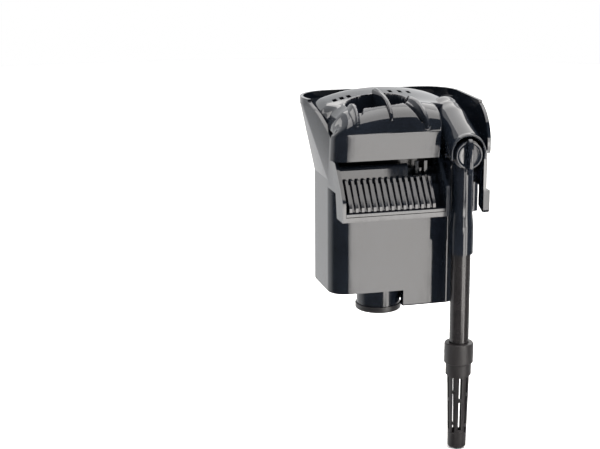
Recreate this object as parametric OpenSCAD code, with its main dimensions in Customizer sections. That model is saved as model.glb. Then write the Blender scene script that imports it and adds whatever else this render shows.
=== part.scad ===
// Hang-on-back aquarium filter: hollow housing with a hooked spill tray, lid, media basket,
// underslung pump, intake siphon with a flow valve, extension tube and strainer.
// Frame: X runs along the tank wall, +Y away from the tank, +Z up, all in millimetres.
// Origin: on the seat that rests on the glass rim, at the outer face of the glass.

/* [Housing] */
// Width of the lower body along the tank wall
body_w = 88; // [87:0.5:90]
// Depth of the lower body away from the tank
body_d = 60; // [59:0.5:62]
// Drop of the body floor below the rim seat
body_h = 70; // [69:0.5:72]
// Further drop of the foot beside the pump
foot_drop = 11; // [9:1:13]
// Wall thickness of the moulded shell
wall = 2.2; // [2:0.1:2.4]
// Height of the rim above the seat
rim_z = 53.5; // [52:0.5:55]
// Room for the tank glass under the tray
glass_gap = 8.5; // [7:0.5:9]
// Reach of the spill tray into the tank
tray_reach = 25; // [24:0.5:26]

/* [Lid] */
// Thickness of the lid shell
lid_wall = 2; // [1.8:0.1:2.2]
// Height of the crest of the lid above the seat
lid_top = 58; // [57:0.5:59]
// Lower edge of the visor above the seat
visor_z = 20.5; // [20.5:0.5:22]

/* [Intake] */
// Distance of the intake axis from the middle of the front panel
intake_x = 37.6; // [37.4:0.1:37.6]
// Outside radius of the siphon leg in the tank
leg_r = 7; // [6.9:0.1:7.1]
// Outside radius of the extension tube
tube_r = 6.45; // [6.35:0.05:6.5]
// Lower end of the extension tube below the seat
tube_end = 114; // [113.5:0.5:114.5]
// Number of slot columns round the strainer
strainer_columns = 9; // [8:1:9]

/* [Pump] */
// Outside radius of the pump case
motor_r = 14.4; // [14.2:0.1:14.5]
// Number of impeller blades
blades = 6; // [4:1:7]

/* [Spillway] */
// Number of ribs on the spillway grate
ribs = 15; // [12:1:16]

/* [Hidden] */
$fn = 64;
eps = 0.02;

gloss = [0.13, 0.13, 0.14];
satin = [0.2, 0.19, 0.19];
rubber = [0.08, 0.08, 0.08];

// Lower body
x_mid = 0.5;
x_l = x_mid - body_w / 2;
x_r = x_mid + body_w / 2;
front_r = 11;
back_r = 20;
z_floor = -body_h;
z_foot = z_floor - foot_drop;
foot_x = 5;
// Upper body: a wing on each side and a bulged back
wing_l = x_l - 9.5;
wing_r = x_r + 12.3;
wing_rad = 24;
y_back = body_d + 4;
z_skirt = 5;
z_wing = 49;
z_pod = -20;
flare_step = 0.15;
// Spill tray
tray_x0 = x_l;
tray_x1 = 26.6;
tray_low = -15.5;
tray_knee = glass_gap + 3;
front_sill = 11.4;
weir_z = 13.9;
weir_r = 2.5;
weir_y = -6.5;
weir_end = 4;
gate_z = 8;
// Lid seat inside the rim
seat_z = 40;
seat_lip = 2.5;
// Lid: crown, finger pocket, fin, and the visor, which reaches past the side of the tray on the left
lid_r = 20;
crown_r = 125;
pocket_l = -27;
pocket_r = 10;
pocket_y = 21;
pocket_z = 41;
fin_x = -8.5;
visor_l = -46.5;
visor_back = 10;
// Hook: radius of its outer plate and that plate's lower edge, and the front and foot of its inner plate
hook_r = 26;
hook_step = 22;
hook_front = -18;
hook_low = -16.8;
// Intake siphon
cross_z = 24;
tank_y = -18.5;
well_y = 17;
barrel_r = 9.3;
barrel_in = 7.6;
barrel_front = tank_y - 8;
valve_y = -12;
siphon_r = leg_r + 0.5;
spindle_r = 1.5;
bearing_r = 2.1;
// Half circles that cross to make the grip of the flow knob
grip_r = 18.2;
grip_off = 14;
grip_depth = 5;
arch_r = 11.5;
arch_in = 9.8;
arch_y = barrel_front;
arch_z = 25;
arch_leg = 4.5;
// Partition between the media chamber and the intake well
part_x = 24;
duct_z = -33;
duct_r = 4.6;
duct_in = 3.6;
inlet_r = 5.6;
inlet_in = 4.5;
duct_fit = 0.05;
// Pump
pump_x = -7;
pump_y = 17;
pump_fit = 0.4;
collar_r = motor_r + pump_fit;
collar_top = -54;
case_top = -52;
cap_z = -85.5;
well_in = 6;
well_out = 7;
well_z = -73;
shaft_r = 0.9;
magnet_r = 5.2;
cover_top = -43.8;
gland_z = -76.4;
cap_r = 15.2;
cap_seam = -81.4;
cap_floor = -83;
gland_r = 3.4;
gland_bore = 2.4;
gland_end = 24;
gland_boss = 8.6;
lug_z = -65;
seal_z = -58;
magnet_low = -71;
magnet_top = -57.5;
disc_z = -51.6;
blade_z = -50.4;
// Basket
basket_x0 = -39.8;
basket_x1 = 22.5;
basket_y0 = 4;
basket_y1 = 52.5;
basket_z = -26;
basket_h = 44;
basket_wall = 1.5;

// A flat outline drawn in Y and Z, extruded along X
module along_x(x0, x1) {
  translate([x0, 0, 0]) rotate([90, 0, 90]) linear_extrude(x1 - x0) children();
}

// A flat outline drawn in X and Z, extruded along Y
module along_y(y0, y1) {
  translate([0, y1, 0]) rotate([90, 0, 0]) linear_extrude(y1 - y0) children();
}

module slab(z0, z1) {
  translate([0, 0, z0]) linear_extrude(z1 - z0) children();
}

module block(p0, p1) {
  translate(p0) cube(p1 - p0);
}

module upright(x, y, z0, z1, r) {
  translate([x, y, z0]) cylinder(h = z1 - z0, r = r);
}

module pipe(x, y, z0, z1, r, r_in) {
  difference() {
    upright(x, y, z0, z1, r);
    upright(x, y, z0 - 1, z1 + 1, r_in);
  }
}

// Rounded rectangle with its own radii at the front and at the back
module plan(x0, x1, y0, y1, rf, rb) {
  polygon([[x0 + rf, y0], [x1 - rf, y0], [x1, y0 + rf], [x1, y1 - rb],
    [x1 - rb, y1], [x0 + rb, y1], [x0, y1 - rb], [x0, y0 + rf]]);
  for (x = [x0 + rf, x1 - rf]) translate([x, y0 + rf]) circle(rf);
  for (x = [x0 + rb, x1 - rb]) translate([x, y1 - rb]) circle(rb);
}

// Where the line from p meets the circle about c, on the left side, just inside the tangent point
function touch(p, c, r) =
  let (d = norm(p - c), a = atan2(p.y - c.y, p.x - c.x) - acos(r / d))
  c + (r - 0.15) * [cos(a), sin(a)];

// Outline with straight front corners that widens to rounded back corners
module winged_plan(p, x1, xl, y1, rad, g = 0) {
  cl = [xl + rad, y1 - rad];
  cr = [x1 - rad, y1 - rad];
  q = p + [g, g];
  t = touch(q, cl, rad - g);
  polygon([q, [x1 - g, q.y], [x1 - g, cr.y], [cr.x, y1 - g], [cl.x, y1 - g], t]);
  translate(cl) circle(rad - g);
  translate(cr) circle(rad - g);
}

module low_plan(g = 0) {
  plan(x_l + g, x_r - g, g, body_d - g, front_r - g, back_r - g);
}

module top_plan(g = 0) {
  winged_plan([x_l, 0], wing_r, wing_l, y_back, wing_rad, g);
}

module pod_plan(g = 0) {
  plan(part_x - 8 + g, wing_r - g, g, body_d - 6 - g, 4 - g, back_r - g);
}

// ---------- housing ----------
// The flare stands a hair proud of the lower body, which leaves a fine line under the band
module flare(g) {
  $fn = 32;
  hull() {
    slab(z_skirt, z_skirt + 0.2) low_plan(g - flare_step);
    slab(z_wing, z_wing + 0.2) top_plan(g + flare_step);
  }
}

module body_outside() {
  slab(z_floor, z_wing) low_plan();
  intersection() {
    slab(z_foot, z_floor + 1) low_plan();
    block([foot_x, -1, z_foot], [x_r + 1, body_d + 1, z_floor + 1]);
  }
  flare(0);
  slab(z_wing, rim_z) top_plan();
  slab(z_pod, z_wing + 1) pod_plan();
  // square shoulder over the rounded front corner, carried on to the spill tray
  block([x_l, 0, 0], [x_l + front_r + 2, front_r + 4, z_wing]);
}

module body_inside() {
  slab(z_floor + wall, z_wing) low_plan(wall);
  intersection() {
    slab(z_foot + wall, z_floor + wall + 1) low_plan(wall);
    block([foot_x + wall, 0, z_foot], [x_r, body_d, z_floor + wall + 1]);
  }
  flare(wall);
  slab(z_wing, rim_z + 1) top_plan(wall);
  slab(z_pod + wall, z_wing + 1) pod_plan(wall);
}

// Everything above the edge of the left side wall
module left_rim_cut() {
  along_x(wing_l - 1, x_l + front_r + 3) polygon([[30, rim_z - 1.5], [18, rim_z - 8], [5, 35],
    [-7, 19], [-19, 6], [-tray_reach - 5, -6], [-tray_reach - 5, rim_z + 5], [30, rim_z + 5]]);
}

// The front is open above the weir, for the visor and for the intake siphon
module front_opening() {
  block([x_l + wall, -30, front_sill], [part_x, wall + 3, rim_z + 5]);
  block([part_x - 1, -5, cross_z - 4.5], [wing_r - wall, wall + 3, rim_z + 5]);
}

module tray_section() {
  polygon([[0, 0], [-glass_gap, 0], [-tray_knee, tray_low], [-tray_reach, tray_low],
    [-tray_reach, tray_low + 3], [-tray_reach + wall, tray_low + wall],
    [-tray_knee - 1.6, tray_low + wall], [-glass_gap - 1.9, wall], [wall + eps, wall],
    [wall + eps, 0]]);
}

module tray_side(front_top) {
  polygon([[front_r + 2, 0], [-glass_gap, 0], [-tray_knee, tray_low], [-tray_reach, tray_low],
    [-tray_reach, front_top], [-19, max(6, front_top + 3)], [-7, 19], [front_r + 2, 19]]);
}

module weir() {
  along_x(x_l + wall - eps, weir_end) {
    translate([weir_y, weir_z]) circle(weir_r);
    polygon([[weir_y - weir_r, 0], [weir_y - weir_r, weir_z], [weir_y, weir_z + weir_r], [wall, weir_z + weir_r - 2],
      [wall, 0], [0, 0], [-glass_gap, 0]]);
  }
  block([weir_end - eps, -6, wall - eps], [tray_x1 - 2, wall, gate_z]);
  for (x = [12, 18]) block([x - 1, -3, gate_z - eps], [x + 1, -1, weir_z + weir_r]);
}

// Side plate with a quarter-round front that hooks over the glass on the right
module hook() {
  along_x(wing_r - wall, wing_r) {
    intersection() {
      translate([8.5, rim_z - hook_r]) circle(hook_r);
      translate([8.5 - hook_r, hook_step]) square([hook_r, rim_z - hook_step]);
    }
    translate([8.5 - eps, 0]) square([9, rim_z]);
  }
  along_x(wing_r - 2 * wall, wing_r - wall + eps) polygon([[hook_front + 0.5, hook_step + 2],
    [hook_front + 0.5, -1], [hook_front, -2], [hook_front, -15], [-16.5, hook_low],
    [-glass_gap - 0.4, -13.5], [-glass_gap - 0.4, 0], [9, 0], [9, hook_step + 2]]);
  along_x(wing_r - wall, wing_r) polygon([[hook_front, -2], [hook_front, -15], [-16.5, hook_low],
    [-13, -15.4], [-13, -2]]);
}

module lid_seat() {
  difference() {
    slab(seat_z - wall, seat_z) {
      top_plan(wall + 0.8);
      translate([wing_r - wall - 14, 20]) square([14 + eps, 28]);
    }
    slab(seat_z - wall - 1, seat_z + 1) lid_plan(seat_lip);
    block([wing_l, -5, seat_z - 5], [wing_r, 20, seat_z + 5]);
  }
}

// Floor socket for the pump, with a ring groove that takes its bayonet lugs
module pump_collar() {
  upright(pump_x, pump_y, z_floor, collar_top, collar_r + wall);
}

module pump_hole() {
  upright(pump_x, pump_y, z_floor - 20, collar_top + 1, collar_r);
  upright(pump_x, pump_y, z_floor - 20, z_floor, collar_r + 1.6);
  translate([pump_x, pump_y, lug_z - 1.4]) difference() {
    cylinder(h = 2.8, r = collar_r + 1.4);
    translate([0, 0, -1]) cylinder(h = 5, r = collar_r - 1);
  }
}

module partition_wall() {
  difference() {
    block([part_x, wall - eps, -42], [part_x + wall, body_d - wall + eps, front_sill]);
    translate([part_x - 1, well_y, duct_z]) rotate([0, 90, 0]) cylinder(h = 5, r = duct_r + duct_fit);
  }
}

module housing() {
  color(gloss) difference() {
    union() {
      difference() {
        body_outside();
        body_inside();
        left_rim_cut();
        front_opening();
      }
      lid_seat();
      pump_collar();
      partition_wall();
      along_x(tray_x0 + 1, tray_x1 - 1) tray_section();
      along_x(tray_x0, tray_x0 + wall) tray_side(-3);
      along_x(tray_x1 - wall, tray_x1) tray_side(4);
      weir();
      hook();
      // rails under the basket
      for (y = [14, 40]) block([x_l + wall - eps, y, basket_z - 2.1], [x_l + wall + 4, y + 5, basket_z - 0.1]);
      for (y = [20, 40]) block([part_x - 4, y, basket_z - 2.1], [part_x + eps, y + 5, basket_z - 0.1]);
    }
    pump_hole();
    // saddle for the siphon in the front wall of the intake well
    translate([intake_x, -1, cross_z]) rotate([-90, 0, 0]) cylinder(h = 5, r = barrel_r + duct_fit);
  }
}

// ---------- spillway grate ----------
module spillway_grate() {
  x0 = tray_x0 + wall + 3;
  x1 = tray_x1 - wall - 6;
  pitch = (x1 - x0 - 1.8) / (ribs - 1);
  color(gloss) {
    for (i = [0 : ribs - 1]) along_x(x0 + i * pitch, x0 + i * pitch + 1.8)
      polygon([[-10.8, 8.4], [-12, 7.8], [-22.4, -7.2], [-22.4, -10.5], [-20.9, -10.5], [-10.8, 3]]);
    along_x(x0, x1) polygon([[-10.8, 5.2], [-22, -9.6], [-21.6, -11], [-19.5, -12.8], [-10.8, 0.6]]);
    // lip bar across the front
    along_x(tray_x0 + wall + 0.3, tray_x1 - wall - 0.3)
      translate([-24.6, -12.2]) square([5.5, 1.8]);
  }
}

// ---------- lid ----------
module lid_plan(g = 0) {
  winged_plan([x_l + wall + 0.4, 4], wing_r - 9, x_l - 2.5, body_d - 4, lid_r, g);
}

module lid_outline(g = 0) {
  lid_plan(g);
  translate([x_l + wall + 0.4 + g, -20]) square([tray_x1 - x_l - wall - 2 - 2 * g, 32]);
  translate([visor_l + g, -20]) square([20, visor_back + 20 - g]);
}

module lid_section(g, drop) {
  intersection() {
    translate([1.5, lid_top - 20]) circle(17 - g);
    translate([-20, lid_top - 20 - eps]) square([21.5 + eps, 22]);
  }
  polygon([[-13 + g, visor_z - drop], [-15.5 + g, lid_top - 20], [1.5, lid_top - 20], [1.5, lid_top - 3 - g],
    [35, lid_top - g], [50 - g, lid_top - 2 - g], [58 - g, lid_top - 8], [60, seat_z + 0.3 - drop],
    [8, seat_z + 0.3 - drop], [-5, visor_z - drop]]);
}

// The top is crowned from side to side
module crown(g) {
  along_y(-40, y_back) translate([-1, lid_top - crown_r]) circle(crown_r - g, $fn = 128);
}

// The arm reaches over the siphon as a sloping half pipe
module arm(r, y0, drop) {
  $fn = 40;
  hull() {
    along_y(y0, y0 + 0.5) translate([intake_x, arch_z]) arch_outline(r, drop);
    along_y(9, 10) translate([intake_x, 42]) arch_outline(r, drop);
  }
  hull() {
    along_y(9, 10) translate([intake_x, 42]) arch_outline(r, drop);
    along_y(25, 26) translate([intake_x, 43.5]) arch_outline(r, drop);
  }
}

module arch_outline(r, drop) {
  circle(r);
  translate([-r, -drop]) square([2 * r, drop]);
}

module lid() {
  color(gloss) {
    difference() {
      union() {
        intersection() {
          slab(visor_z, lid_top + 2) lid_outline();
          along_x(x_l - 3, wing_r) lid_section(0, 0);
          crown(0);
        }
        difference() {
          arm(arch_r, arch_y, arch_leg);
          block([0, 0, -10], [80, 60, seat_z + 0.3]);
        }
      }
      intersection() {
        slab(0, lid_top + 2) lid_outline(lid_wall);
        along_x(x_l, wing_r) lid_section(lid_wall, 5);
        crown(lid_wall);
      }
      arm(arch_in, arch_y - 1, 12);
      block([pocket_l, 0, 30], [pocket_r, pocket_y, 70]);
      for (x = [-34, -29.5, -25, 3, 9.5, 15.5]) block([x - 1.1, 23.5, 50], [x + 1.1, 29.5, 60]);
    }
    // finger pocket with its central fin
    difference() {
      block([pocket_l - lid_wall, -lid_wall, pocket_z], [pocket_r + lid_wall, pocket_y + lid_wall, lid_top - 3.4]);
      block([pocket_l, 0, pocket_z + lid_wall], [pocket_r, pocket_y, 70]);
    }
    along_x(fin_x - 1.4, fin_x + 1.4) polygon([[-11, 45], [-10, 50.5], [-3, lid_top - 1.5], [12, lid_top + 1],
      [21, lid_top + 2.5], [25, lid_top + 1.5], [26, lid_top - 2], [22, 42], [-1, 42]]);
  }
}

// ---------- media basket and its filling ----------
module basket_plan(g = 0) {
  plan(basket_x0 + g, basket_x1 - g, basket_y0 + g, basket_y1 - g, 8 - g, 15 - g);
}

module media_basket() {
  color(satin) difference() {
    union() {
      slab(basket_z, basket_z + basket_h) basket_plan();
      // bail across the top
      along_y(26, 31) translate([(basket_x0 + basket_x1) / 2, basket_z + basket_h - 1]) difference() {
        square([basket_x1 - basket_x0 - 0.6, 22], center = true);
        square([basket_x1 - basket_x0 - 2 * basket_wall - 0.6, 17], center = true);
        translate([-40, -20]) square([80, 18]);
      }
    }
    slab(basket_z + basket_wall, basket_z + basket_h - eps * 10) basket_plan(basket_wall);
    slab(basket_z + basket_h - 1, basket_z + basket_h + 0.01) basket_plan(basket_wall);
    for (x = [-32 : 6 : 18]) block([x - 1.5, 12, basket_z - 1], [x + 1.5, 44, basket_z + 3]);
  }
}

module sponge_block() {
  color([0.16, 0.2, 0.26]) slab(basket_z + basket_wall + 0.3, basket_z + 22) basket_plan(basket_wall + 0.5);
}

module carbon_insert() {
  color([0.85, 0.86, 0.84]) slab(basket_z + 22.6, basket_z + 38) basket_plan(basket_wall + 0.8);
}

// ---------- intake siphon ----------
module lying(y0, y1, r) {
  translate([intake_x, y0, cross_z]) rotate([-90, 0, 0]) cylinder(h = y1 - y0, r = r);
}

bell_top = -16;
bell_low = -42;
socket_in = tube_r + 0.08;

module intake_u_tube() {
  color(gloss) difference() {
    union() {
      lying(barrel_front, -8, barrel_r);
      lying(-9, well_y, siphon_r);
      translate([intake_x, well_y, cross_z]) sphere(siphon_r);
      upright(intake_x, well_y, 2, cross_z, 6.5);
      upright(intake_x, tank_y, bell_top - 1, cross_z, leg_r);
      translate([intake_x, tank_y, 0]) rotate_extrude() polygon([[0, bell_top], [leg_r, bell_top],
        [leg_r + 0.85, bell_top - 8], [leg_r + 0.85, bell_low], [0, bell_low]]);
    }
    lying(barrel_front + 2, -9.5, barrel_in);
    lying(-10, well_y, leg_r - 1.2);
    upright(intake_x, well_y, 1, cross_z, 5.1);
    upright(intake_x, tank_y, bell_top - 4, cross_z, leg_r - 1.5);
    upright(intake_x, tank_y, bell_low - 1, bell_top - 4 + eps, socket_in);
    // bearing hole of the valve spindle
    lying(barrel_front - 1, barrel_front + 3, bearing_r);
  }
  // fixed half-moon that the valve turns against
  color(gloss) difference() {
    lying(valve_y, valve_y + 1.2, barrel_in + 0.1);
    block([0, valve_y - 1, cross_z], [80, valve_y + 2, 60]);
  }
}

knob_y = barrel_front - 3.3;
knob_gap = 0.3;
knob_r = 8.9;

module flow_knob() {
  color(gloss) difference() {
    union() {
      lying(knob_y, barrel_front - knob_gap, knob_r);
      along_y(knob_y - grip_depth, knob_y + eps) translate([intake_x, cross_z - 1]) intersection() {
        translate([-grip_off, 0]) circle(grip_r);
        translate([grip_off, 0]) circle(grip_r);
      }
    }
    lying(knob_y + 1.2, barrel_front, spindle_r + 0.05);
  }
}

module valve_spindle() {
  color(satin) {
    lying(knob_y + 1.3, valve_y - 1, spindle_r);
    difference() {
      lying(valve_y - 1.4, valve_y - 0.3, barrel_in - 0.4);
      block([0, valve_y - 2, cross_z], [80, valve_y, 60]);
    }
  }
}

module spindle_seal() {
  color(rubber) translate([intake_x, barrel_front + 0.9, cross_z]) rotate([90, 0, 0]) rotate_extrude()
    translate([1.8, 0]) circle(0.28, $fn = 24);
}

module extension_tube() {
  color(satin) pipe(intake_x, tank_y, -tube_end, -22, tube_r, tube_r - 1.25);
}

// ---------- strainer ----------
sock_z0 = -102.5;
sock_z1 = -116;
sock_z2 = -124.5;
slot_top = -125.8;
slot_z = -165;
strainer_z = -175.5;
slot_w = 2.1;
bar_h = 2;
bar_pitch = 22;
// Drop of the first crossbar of each slot column
bar_drop = [11, 19, 13, 9, 15, 9, 15, 11, 13];

module strainer_socket() {
  color(satin) translate([intake_x, tank_y, 0]) rotate_extrude() polygon([[socket_in, sock_z0],
    [9.2, sock_z0], [9.65, sock_z0 - 1], [9.65, sock_z1], [8.5, sock_z1 - 0.6], [8.5, sock_z2], [7, sock_z2],
    [7, sock_z1 + 0.5], [socket_in, sock_z1 + 0.5]]);
}

module strainer_basket() {
  color(satin) difference() {
    translate([intake_x, tank_y, 0]) rotate_extrude() polygon([[6, sock_z1], [6.95, sock_z1], [6.95, sock_z2 - 0.2],
      [7.35, sock_z2 - 0.2], [6.3, slot_z - 2], [6.15, strainer_z + 1], [5.4, strainer_z], [0, strainer_z],
      [0, slot_z - 3], [5.1, slot_z - 3], [6, sock_z2 - 2]]);
    for (i = [0 : strainer_columns - 1]) translate([intake_x, tank_y, 0])
      rotate([0, 0, 25 + i * 360 / strainer_columns]) difference() {
      block([3, -slot_w / 2, slot_z], [9, slot_w / 2, slot_top]);
      for (k = [0, 1]) translate([2, -2, slot_top - bar_drop[i % 9] - bar_h - k * bar_pitch]) cube([8, 4, bar_h]);
    }
  }
}

// ---------- suction duct in the housing ----------
module duct_run(r) {
  translate([pump_x, well_y, duct_z]) rotate([0, 90, 0]) cylinder(h = intake_x - pump_x, r = r);
  for (x = [pump_x, intake_x]) translate([x, well_y, duct_z]) sphere(r);
}

module suction_duct() {
  color(satin) difference() {
    union() {
      duct_run(duct_r);
      upright(intake_x, well_y, duct_z, -6, duct_r);
      translate([intake_x, well_y, -10]) cylinder(h = 6, r1 = duct_r, r2 = 9);
      upright(intake_x, well_y, -4 - eps, 8, 9);
      upright(pump_x, well_y, cover_top + 0.4, duct_z, inlet_r + 1.6);
    }
    duct_run(duct_in);
    upright(intake_x, well_y, duct_z, 0, duct_in);
    upright(intake_x, well_y, -1, 9, 7.6);
    upright(pump_x, well_y, cover_top, duct_z - 4, inlet_r + 0.1);
  }
}

module duct_seal() {
  color(rubber) {
    pipe(intake_x, well_y, 2.5, 8, 7.58, 6.52);
    pipe(intake_x, well_y, 8, 9.2, 9, 6.52);
  }
}

// ---------- pump ----------
module at_pump() {
  translate([pump_x, pump_y, 0]) children();
}

module impeller_cover() {
  color(satin) at_pump() difference() {
    union() {
      cylinder_between(case_top, cover_top, 13.2);
      cylinder_between(cover_top - eps, -38.5, inlet_r);
    }
    cylinder_between(case_top - 1, cover_top - 1.8, 9.8);
    difference() {
      cylinder_between(cover_top - 3, -38, inlet_in);
      block([-6, -0.9, cover_top - 3], [6, 0.9, cover_top]);
      cylinder_between(cover_top - 3, cover_top, 3.2);
    }
    cylinder_between(cover_top - 3, cover_top - 0.6, 2.2);
    // discharge window
    block([-20, 4, case_top + 1], [0, 9.5, cover_top - 2]);
  }
}

module cylinder_between(z0, z1, r) {
  translate([0, 0, z0]) cylinder(h = z1 - z0, r = r);
}

module upper_bushing() {
  color(rubber) at_pump() pipe(0, 0, cover_top - 2.8, cover_top - 0.65, 2.15, shaft_r + 0.04);
}

module motor_case() {
  color(satin) at_pump() {
    difference() {
      union() {
        cylinder_between(cap_seam, case_top, motor_r);
        translate([0, motor_r - 1, gland_z]) rotate([-90, 0, 0]) cylinder(h = gland_boss, r = 4.6);
        // bayonet lugs
        intersection() {
          cylinder_between(lug_z - 1.1, lug_z + 1.1, motor_r + 1.3);
          block([-20, -2.5, lug_z - 2], [20, 2.5, lug_z + 2]);
        }
      }
      cylinder_between(cap_floor, case_top - 2, motor_r - 1.5);
      cylinder_between(case_top - 3, case_top + 1, well_in);
      // groove of the sealing ring
      translate([0, 0, seal_z]) rotate_extrude() translate([motor_r, 0]) square([2.6, 2.2], center = true);
      translate([0, motor_r - 4, gland_z]) rotate([-90, 0, 0]) cylinder(h = 20, r = gland_r);
    }
    difference() {
      cylinder_between(well_z - 1.2, case_top - 1, well_out);
      cylinder_between(well_z, case_top, well_in);
    }
  }
}

module motor_cap() {
  color(satin) at_pump() {
    difference() {
      cylinder_between(cap_z, cap_seam, cap_r);
      cylinder_between(cap_floor, cap_seam + 1, motor_r - 2.8);
      translate([0, 0, cap_z]) rotate_extrude() polygon([[cap_r - 0.8, 0], [cap_r + 1, 0], [cap_r + 1, 1.8]]);
    }
    pipe(0, 0, cap_seam - eps, cap_seam + 0.6, motor_r - 1.65, motor_r - 2.8);
  }
}

module motor_seal() {
  color(rubber) at_pump() translate([0, 0, seal_z]) rotate_extrude()
    translate([motor_r - 0.45, 0]) circle(0.8, $fn = 32);
}

module cord_gland() {
  color(rubber) at_pump() translate([0, 0, gland_z]) difference() {
    union() {
      translate([0, motor_r - 2.6, 0]) rotate([-90, 0, 0]) cylinder(h = gland_end - motor_r + 2.6, r = gland_r - 0.02);
      translate([0, gland_end - 1.4, 0]) rotate([-90, 0, 0]) cylinder(h = 1.4, r = 4.4);
    }
    translate([0, 5, 0]) rotate([-90, 0, 0]) cylinder(h = 40, r = gland_bore);
  }
}

yoke_z = -77.9;

module stator_core() {
  color([0.55, 0.56, 0.58]) at_pump() {
    for (s = [-1, 1]) translate([s * 9.9 - 1.8, -4, yoke_z - 2]) cube([3.6, 8, 22]);
    translate([-11.7, -4, yoke_z - 2]) cube([23.4, 8, 3.2]);
  }
}

module coil_bobbin() {
  color([0.9, 0.88, 0.8]) at_pump() translate([0, 0, yoke_z - 0.4]) difference() {
    union() {
      translate([-6.6, -4.7, -2.3]) cube([13.2, 9.4, 4.6]);
      for (x = [-7.4, 6.6]) translate([x, -6.6, -3.5]) cube([0.8, 13.2, 7]);
    }
    translate([-9, -4.05, -1.65]) cube([18, 8.1, 3.3]);
  }
}

module stator_winding() {
  color([0.72, 0.4, 0.2]) at_pump() translate([0, 0, yoke_z - 0.4]) difference() {
    translate([-6.5, -6.3, -3.4]) cube([13, 12.6, 6.8]);
    translate([-9, -4.75, -2.35]) cube([18, 9.5, 4.7]);
  }
}

module rotor_shaft() {
  color([0.92, 0.92, 0.9]) at_pump() cylinder_between(well_z + 0.3, cover_top - 0.8, shaft_r);
}

module lower_bushing() {
  color(rubber) at_pump() pipe(0, 0, well_z, well_z + 1.4, well_in - 0.02, shaft_r + 0.04);
}

module rotor_magnet() {
  color([0.22, 0.22, 0.24]) at_pump() pipe(0, 0, magnet_low, magnet_top, magnet_r, 2.6);
}

module impeller() {
  color([0.93, 0.93, 0.92]) at_pump() difference() {
    union() {
      cylinder_between(magnet_low - 0.2, magnet_top, 2.55);
      cylinder_between(magnet_top, disc_z, 4);
      cylinder_between(disc_z, blade_z, 8.6);
      cylinder_between(blade_z - eps, -46.9, 2.6);
      for (i = [0 : blades - 1]) rotate([0, 0, i * 360 / blades]) block([1.5, -0.5, blade_z - eps], [8.4, 0.5, -47.4]);
    }
    cylinder_between(-80, -40, shaft_r + 0.06);
  }
}

housing();
spillway_grate();
lid();
media_basket();
sponge_block();
carbon_insert();
intake_u_tube();
flow_knob();
valve_spindle();
spindle_seal();
extension_tube();
strainer_socket();
strainer_basket();
suction_duct();
duct_seal();
impeller_cover();
upper_bushing();
motor_case();
motor_cap();
motor_seal();
cord_gland();
stator_core();
coil_bobbin();
stator_winding();
rotor_shaft();
lower_bushing();
rotor_magnet();
impeller();
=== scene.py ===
"""Finished looks for a hang-on-back aquarium filter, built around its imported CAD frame."""

import math

import bpy
from mathutils import Matrix, Vector


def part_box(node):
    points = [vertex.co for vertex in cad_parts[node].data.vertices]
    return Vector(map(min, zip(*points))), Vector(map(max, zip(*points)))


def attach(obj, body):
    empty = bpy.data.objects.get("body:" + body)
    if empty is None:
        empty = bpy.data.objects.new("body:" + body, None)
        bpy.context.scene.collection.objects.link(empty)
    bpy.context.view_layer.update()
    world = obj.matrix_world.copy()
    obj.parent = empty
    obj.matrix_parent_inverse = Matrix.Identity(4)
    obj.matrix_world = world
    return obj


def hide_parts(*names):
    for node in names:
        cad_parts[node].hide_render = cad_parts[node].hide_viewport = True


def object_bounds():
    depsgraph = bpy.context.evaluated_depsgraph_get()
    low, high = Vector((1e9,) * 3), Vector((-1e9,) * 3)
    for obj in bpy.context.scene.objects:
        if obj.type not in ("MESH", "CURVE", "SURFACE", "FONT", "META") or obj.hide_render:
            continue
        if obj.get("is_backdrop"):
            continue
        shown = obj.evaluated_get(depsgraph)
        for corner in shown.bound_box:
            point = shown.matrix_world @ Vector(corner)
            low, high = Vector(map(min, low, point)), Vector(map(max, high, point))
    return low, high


bl_info = {
    "name": "Hang-on Filter Looks",
    "version": (1, 0, 0),
    "blender": (4, 5, 0),
    "location": "View3D > Sidebar > Filter",
    "description": "Builds the moulded shell, spillway, intake, pump, media and studio of the filter",
    "category": "Add Mesh",
}

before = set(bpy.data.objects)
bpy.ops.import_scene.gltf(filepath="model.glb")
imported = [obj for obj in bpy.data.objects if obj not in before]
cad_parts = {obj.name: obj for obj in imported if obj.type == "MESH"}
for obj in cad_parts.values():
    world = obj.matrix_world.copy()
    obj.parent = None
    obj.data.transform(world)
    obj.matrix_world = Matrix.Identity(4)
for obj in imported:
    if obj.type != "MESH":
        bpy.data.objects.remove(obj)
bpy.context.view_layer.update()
MM = 0.001


# ---------- sizes, finishes and studio that a user would change ----------


class FilterSizes(bpy.types.PropertyGroup):
    """Sizes that the looks add to the CAD shapes."""

    shell_edge: bpy.props.FloatProperty(
        name="Shell edge", description="Rounding on the edges of the glossy shell",
        default=0.55 * MM, unit="LENGTH",
    )
    fine_edge: bpy.props.FloatProperty(
        name="Fine edge", description="Rounding on the edges of small parts",
        default=0.22 * MM, unit="LENGTH",
    )
    foam_cell: bpy.props.FloatProperty(
        name="Foam cell", description="Size of the voxels the sponge is cut in",
        default=1.6 * MM, unit="LENGTH",
    )
    bag_puff: bpy.props.FloatProperty(
        name="Bag puff", description="Farthest that the fleece bag may swell",
        default=2.2 * MM, unit="LENGTH",
    )


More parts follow.
